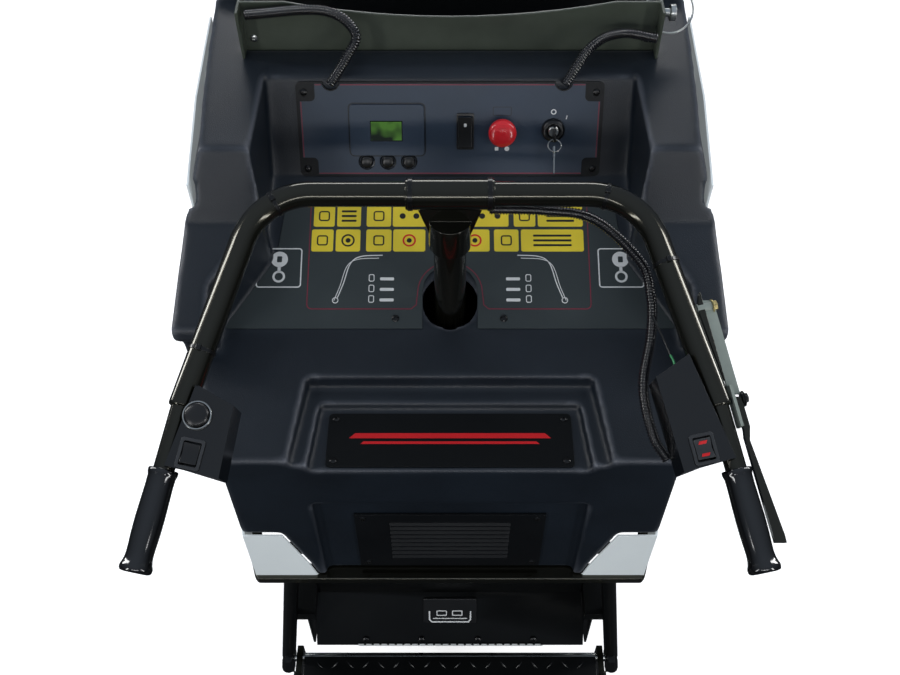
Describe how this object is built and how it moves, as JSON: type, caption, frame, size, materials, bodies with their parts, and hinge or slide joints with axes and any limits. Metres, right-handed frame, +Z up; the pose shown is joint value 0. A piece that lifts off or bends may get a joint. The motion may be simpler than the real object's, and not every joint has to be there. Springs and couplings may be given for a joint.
{
  "type": "ride-on tub buggy",
  "caption": "Battery-electric ride-on tub buggy with a moulded rear hood, steering handlebar, fold-down operator platform and a forward-tipping tub.",
  "frame": {"origin": "centre of the footprint on the ground", "axes": "+Z up, +Y forward (towards the tub), +X to the operator's right"},
  "size_m": [0.78, 2.22, 1.2236],
  "materials": {
    "hood_plastic": "fine pebble texture",
    "black_paint": "glossy powder coat",
    "satin_sheet": "satin sheet",
    "silver_paint": "satin silver paint",
    "rubber": "smooth moulded rubber",
    "tyre": "matte tyre rubber",
    "steel": "bright zinc",
    "red_plastic": "gloss red",
    "grey_plastic": "moulded grey",
    "tub_plastic": "moulded black"
  },
  "bodies": {
    "chassis": {"chassis_frame": "black_paint", "rear_hood": "hood_plastic", "dash_panel": "satin_sheet", "display_module": "grey_plastic", "estop_base": "grey_plastic", "key_switch": "rubber", "decal_plate": "satin_sheet", "nameplate": "satin_sheet", "vent_grille": "satin_sheet", "side_panel_left": "silver_paint", "side_panel_right": "silver_paint", "rear_bumper": "satin_sheet", "toe_panel": "satin_sheet", "tub_rest_plate": "black_paint", "conduit_left": "rubber", "conduit_right": "rubber", "steering_bearing": "steel", "tub_hinge_pin": "steel", "platform_hinge_pin": "steel", "battery_pack": "grey_plastic", "motor_controller": "silver_paint", "battery_charger": "grey_plastic", "hydraulic_power_pack": "black_paint", "drive_axle": "black_paint"},
    "steering": {"handlebar": "black_paint", "grip_left": "rubber", "grip_right": "rubber", "handlebar_collar": "black_paint", "steering_column": "black_paint", "steering_fork": "black_paint", "switch_box_left": "satin_sheet", "switch_box_right": "satin_sheet", "lever_link_bar": "steel", "handlebar_conduit": "rubber"},
    "tub": {"tub": "tub_plastic", "tub_frame": "black_paint"},
    "cylinder_barrel": {"cylinder_barrel": "black_paint"},
    "cylinder_rod": {"cylinder_rod": "steel"},
    "platform": {"platform_frame": "black_paint", "platform_deck": "satin_sheet"},
    "front_left_wheel": {"front_left_tyre": "tyre", "front_left_rim": "grey_plastic"},
    "front_right_wheel": {"front_right_tyre": "tyre", "front_right_rim": "grey_plastic"},
    "rear_left_wheel": {"rear_left_tyre": "tyre", "rear_left_rim": "grey_plastic"},
    "rear_right_wheel": {"rear_right_tyre": "tyre", "rear_right_rim": "grey_plastic"},
    "menu_button_1": {"menu_button_1": "rubber"},
    "menu_button_2": {"menu_button_2": "rubber"},
    "menu_button_3": {"menu_button_3": "rubber"},
    "light_rocker": {"light_rocker": "rubber"},
    "estop_button": {"estop_button": "red_plastic"},
    "key": {"key": "steel"},
    "horn_button": {"horn_button": "rubber"},
    "tub_rocker": {"tub_rocker": "rubber"},
    "direction_rocker": {"direction_rocker": "grey_plastic"},
    "drive_lever": {"drive_lever": "black_paint"},
    "charge_flap": {"charge_flap": "rubber"},
    "lock_pin": {"lock_pin": "steel"}
  },
  "joints": [
    {"name": "steer", "type": "hinge", "parent": "chassis", "child": "steering", "pos_m": [0, -0.39, 0.7], "axis": [0, 0, 1], "range_deg": [-22, 22]},
    {"name": "tub_tilt", "type": "hinge", "parent": "chassis", "child": "tub", "pos_m": [0, 0.73, 0.42], "axis": [-1, 0, 0], "range_deg": [0, 70]},
    {"name": "cylinder_swing", "type": "hinge", "parent": "chassis", "child": "cylinder_barrel", "pos_m": [0, 0.01, 0.33], "axis": [1, 0, 0], "range_deg": [0, 7]},
    {"name": "cylinder_stroke", "type": "slide", "parent": "cylinder_barrel", "child": "cylinder_rod", "axis": [0, 0.9608, 0.2772], "range_m": [0, 0.23]},
    {"name": "platform_fold", "type": "hinge", "parent": "chassis", "child": "platform", "pos_m": [0, -0.626, 0.2], "axis": [-1, 0, 0], "range_deg": [0, 68]},
    {"name": "front_left_spin", "type": "hinge", "parent": "chassis", "child": "front_left_wheel", "pos_m": [-0.331, 0.56, 0.23], "axis": [1, 0, 0], "continuous": true},
    {"name": "front_right_spin", "type": "hinge", "parent": "chassis", "child": "front_right_wheel", "pos_m": [0.331, 0.56, 0.23], "axis": [1, 0, 0], "continuous": true},
    {"name": "rear_left_spin", "type": "hinge", "parent": "steering", "child": "rear_left_wheel", "pos_m": [-0.07, -0.39, 0.15], "axis": [1, 0, 0], "continuous": true},
    {"name": "rear_right_spin", "type": "hinge", "parent": "steering", "child": "rear_right_wheel", "pos_m": [0.07, -0.39, 0.15], "axis": [1, 0, 0], "continuous": true},
    {"name": "menu_press_1", "type": "slide", "parent": "chassis", "child": "menu_button_1", "axis": [0, 0.8949, -0.4462], "range_m": [0, 0.0015]},
    {"name": "menu_press_2", "type": "slide", "parent": "chassis", "child": "menu_button_2", "axis": [0, 0.8949, -0.4462], "range_m": [0, 0.0015]},
    {"name": "menu_press_3", "type": "slide", "parent": "chassis", "child": "menu_button_3", "axis": [0, 0.8949, -0.4462], "range_m": [0, 0.0015]},
    {"name": "light_rock", "type": "hinge", "parent": "chassis", "child": "light_rocker", "pos_m": [0.022, -0.17508, 1.0683], "axis": [1, 0, 0], "range_deg": [-6, 6]},
    {"name": "estop_press", "type": "slide", "parent": "chassis", "child": "estop_button", "axis": [0, 0.8949, -0.4462], "range_m": [0, 0.006]},
    {"name": "key_turn", "type": "hinge", "parent": "chassis", "child": "key", "pos_m": [0.149, -0.1715, 1.06875], "axis": [0, 0.8949, -0.4462], "range_deg": [0, 40]},
    {"name": "horn_press", "type": "slide", "parent": "steering", "child": "horn_button", "axis": [0, 0.3859, -0.9225], "range_m": [0, 0.0025]},
    {"name": "tub_rock", "type": "hinge", "parent": "steering", "child": "tub_rocker", "pos_m": [-0.29862, -0.70192, 1.03795], "axis": [0.9789, -0.1887, -0.0789], "range_deg": [-8, 8]},
    {"name": "direction_rock", "type": "hinge", "parent": "steering", "child": "direction_rocker", "pos_m": [0.29226, -0.69639, 1.04026], "axis": [0.9789, 0.1887, 0.0789], "range_deg": [-8, 8]},
    {"name": "drive_squeeze", "type": "hinge", "parent": "steering", "child": "drive_lever", "pos_m": [0.33964, -0.6329, 1.04839], "axis": [-0.9789, -0.1887, -0.0789], "range_deg": [0, 8]},
    {"name": "charge_flap_open", "type": "hinge", "parent": "chassis", "child": "charge_flap", "pos_m": [0, -0.5614, 0.3155], "axis": [-1, 0, 0], "range_deg": [0, 100]},
    {"name": "lock_pin_pull", "type": "slide", "parent": "chassis", "child": "lock_pin", "axis": [1, 0, 0], "range_m": [0, 0.025]}
  ],
  "couplings": [
    {"joint": "cylinder_swing", "follows": "tub_tilt", "ratio": 0.096684},
    {"joint": "cylinder_stroke", "follows": "tub_tilt", "m_per_rad": 0.1859}
  ]
}
